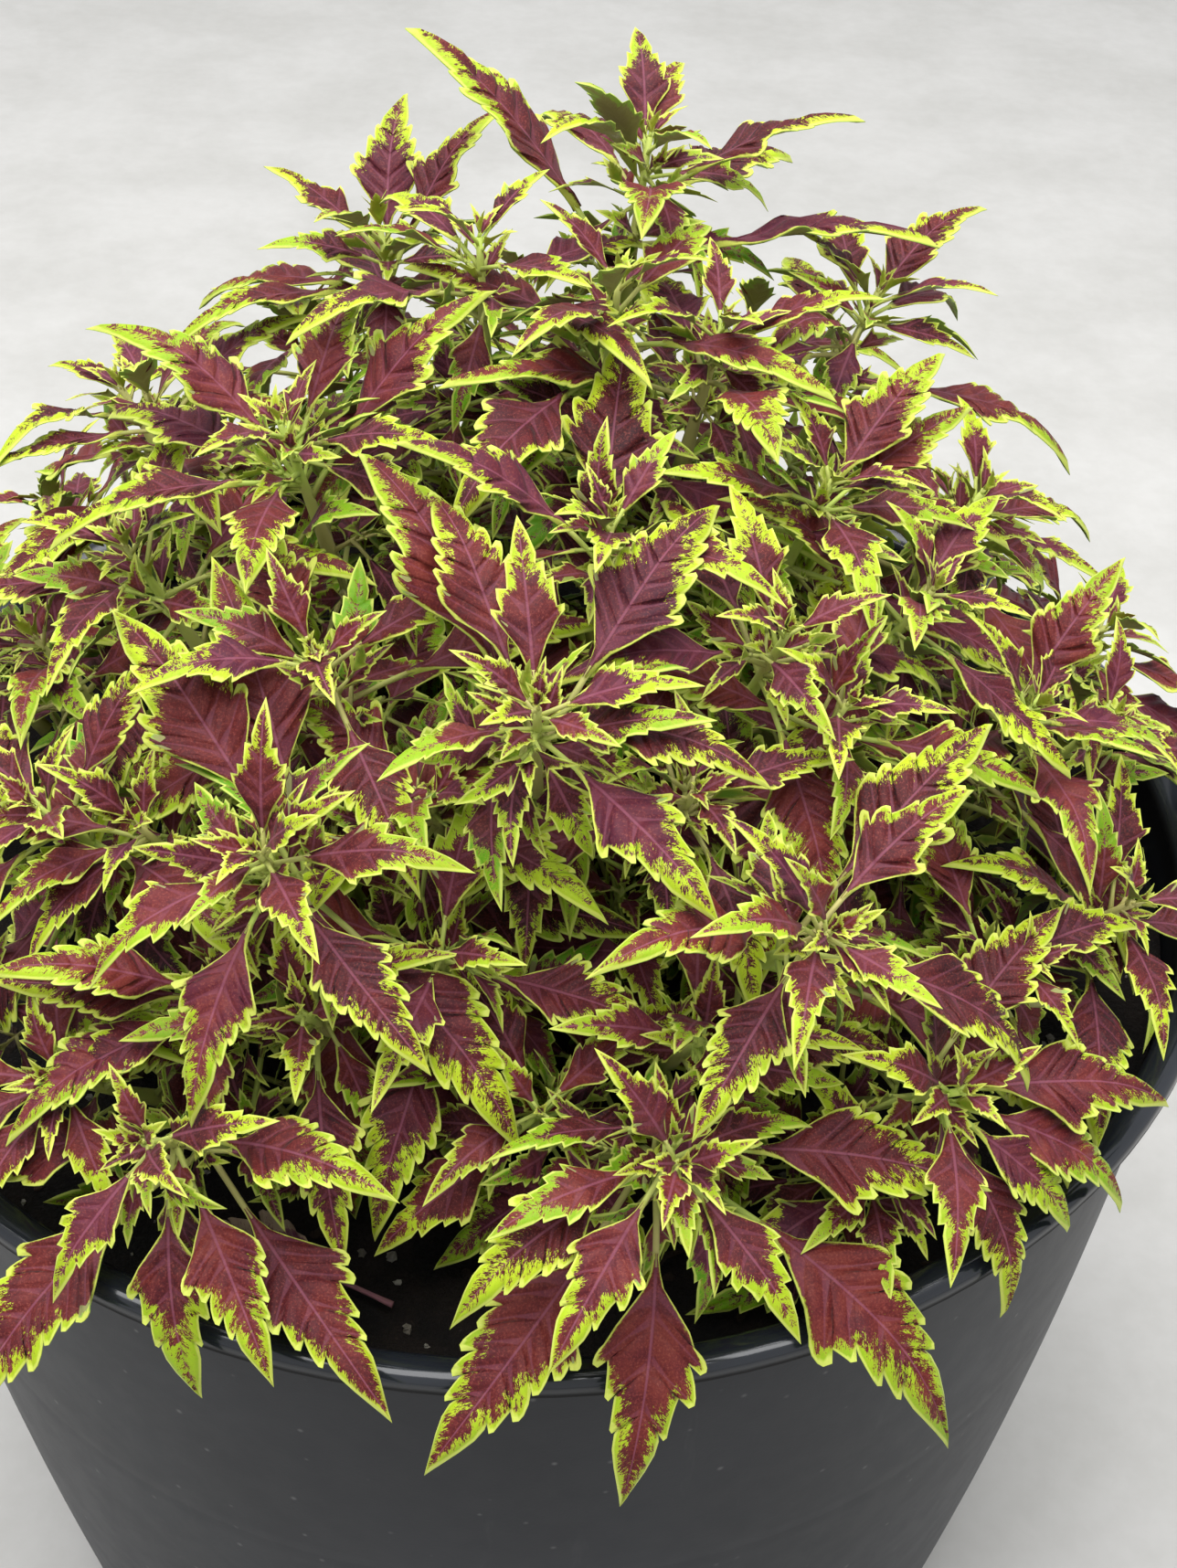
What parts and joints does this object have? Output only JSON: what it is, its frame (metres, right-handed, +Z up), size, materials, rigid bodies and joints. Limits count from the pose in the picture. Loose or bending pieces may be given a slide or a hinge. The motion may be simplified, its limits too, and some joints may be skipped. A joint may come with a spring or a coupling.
{
  "type": "potted coleus",
  "caption": "Bushy potted coleus: toothed burgundy leaves with lime edges on a branching stem, in a round dark planter with a rolled rim",
  "frame": {"origin": "middle of the planter's flat underside", "axes": "+Z up along the planter's axis, -Y towards the viewer at the side where the leaves hang over the rim, +X to the viewer's right"},
  "size_m": [0.5955, 0.5998, 0.6735],
  "materials": {
    "planter": "dusty matt charcoal moulded plastic with a glossier rolled rim",
    "mix": "moist dark bark and peat potting mix with white perlite grains",
    "stem": "fresh green square stems, flushed purple at the nodes",
    "leaf": "soft burgundy leaf with a ragged lime margin, satin with fine quilting",
    "shed": "faded shed leaf, dull purple and beige"
  },
  "bodies": {
    "root": {"planter": "planter", "potting_mix": "mix", "branching_stem": "stem", "shed_leaf": "shed", "shoot_01": "leaf", "shoot_02": "leaf", "shoot_03": "leaf", "shoot_04": "leaf", "shoot_05": "leaf", "shoot_06": "leaf", "shoot_07": "leaf", "shoot_08": "leaf", "shoot_09": "leaf", "shoot_10": "leaf", "shoot_11": "leaf", "shoot_12": "leaf", "shoot_13": "leaf", "shoot_14": "leaf", "shoot_15": "leaf", "shoot_16": "leaf", "shoot_17": "leaf", "shoot_18": "leaf", "shoot_19": "leaf", "shoot_20": "leaf", "shoot_21": "leaf", "shoot_22": "leaf", "shoot_23": "leaf", "shoot_24": "leaf", "shoot_25": "leaf", "shoot_26": "leaf", "shoot_27": "leaf", "shoot_28": "leaf", "shoot_29": "leaf", "shoot_30": "leaf", "shoot_31": "leaf", "shoot_32": "leaf", "shoot_33": "leaf", "shoot_34": "leaf", "shoot_35": "leaf", "shoot_36": "leaf", "shoot_37": "leaf", "shoot_38": "leaf", "shoot_39": "leaf", "shoot_40": "leaf", "shoot_41": "leaf", "shoot_42": "leaf", "shoot_43": "leaf", "shoot_44": "leaf", "shoot_45": "leaf", "shoot_46": "leaf", "shoot_47": "leaf", "shoot_48": "leaf", "shoot_49": "leaf", "shoot_50": "leaf", "shoot_51": "leaf", "shoot_52": "leaf", "shoot_53": "leaf", "shoot_54": "leaf", "shoot_55": "leaf", "shoot_56": "leaf"}
  },
  "joints": []
}
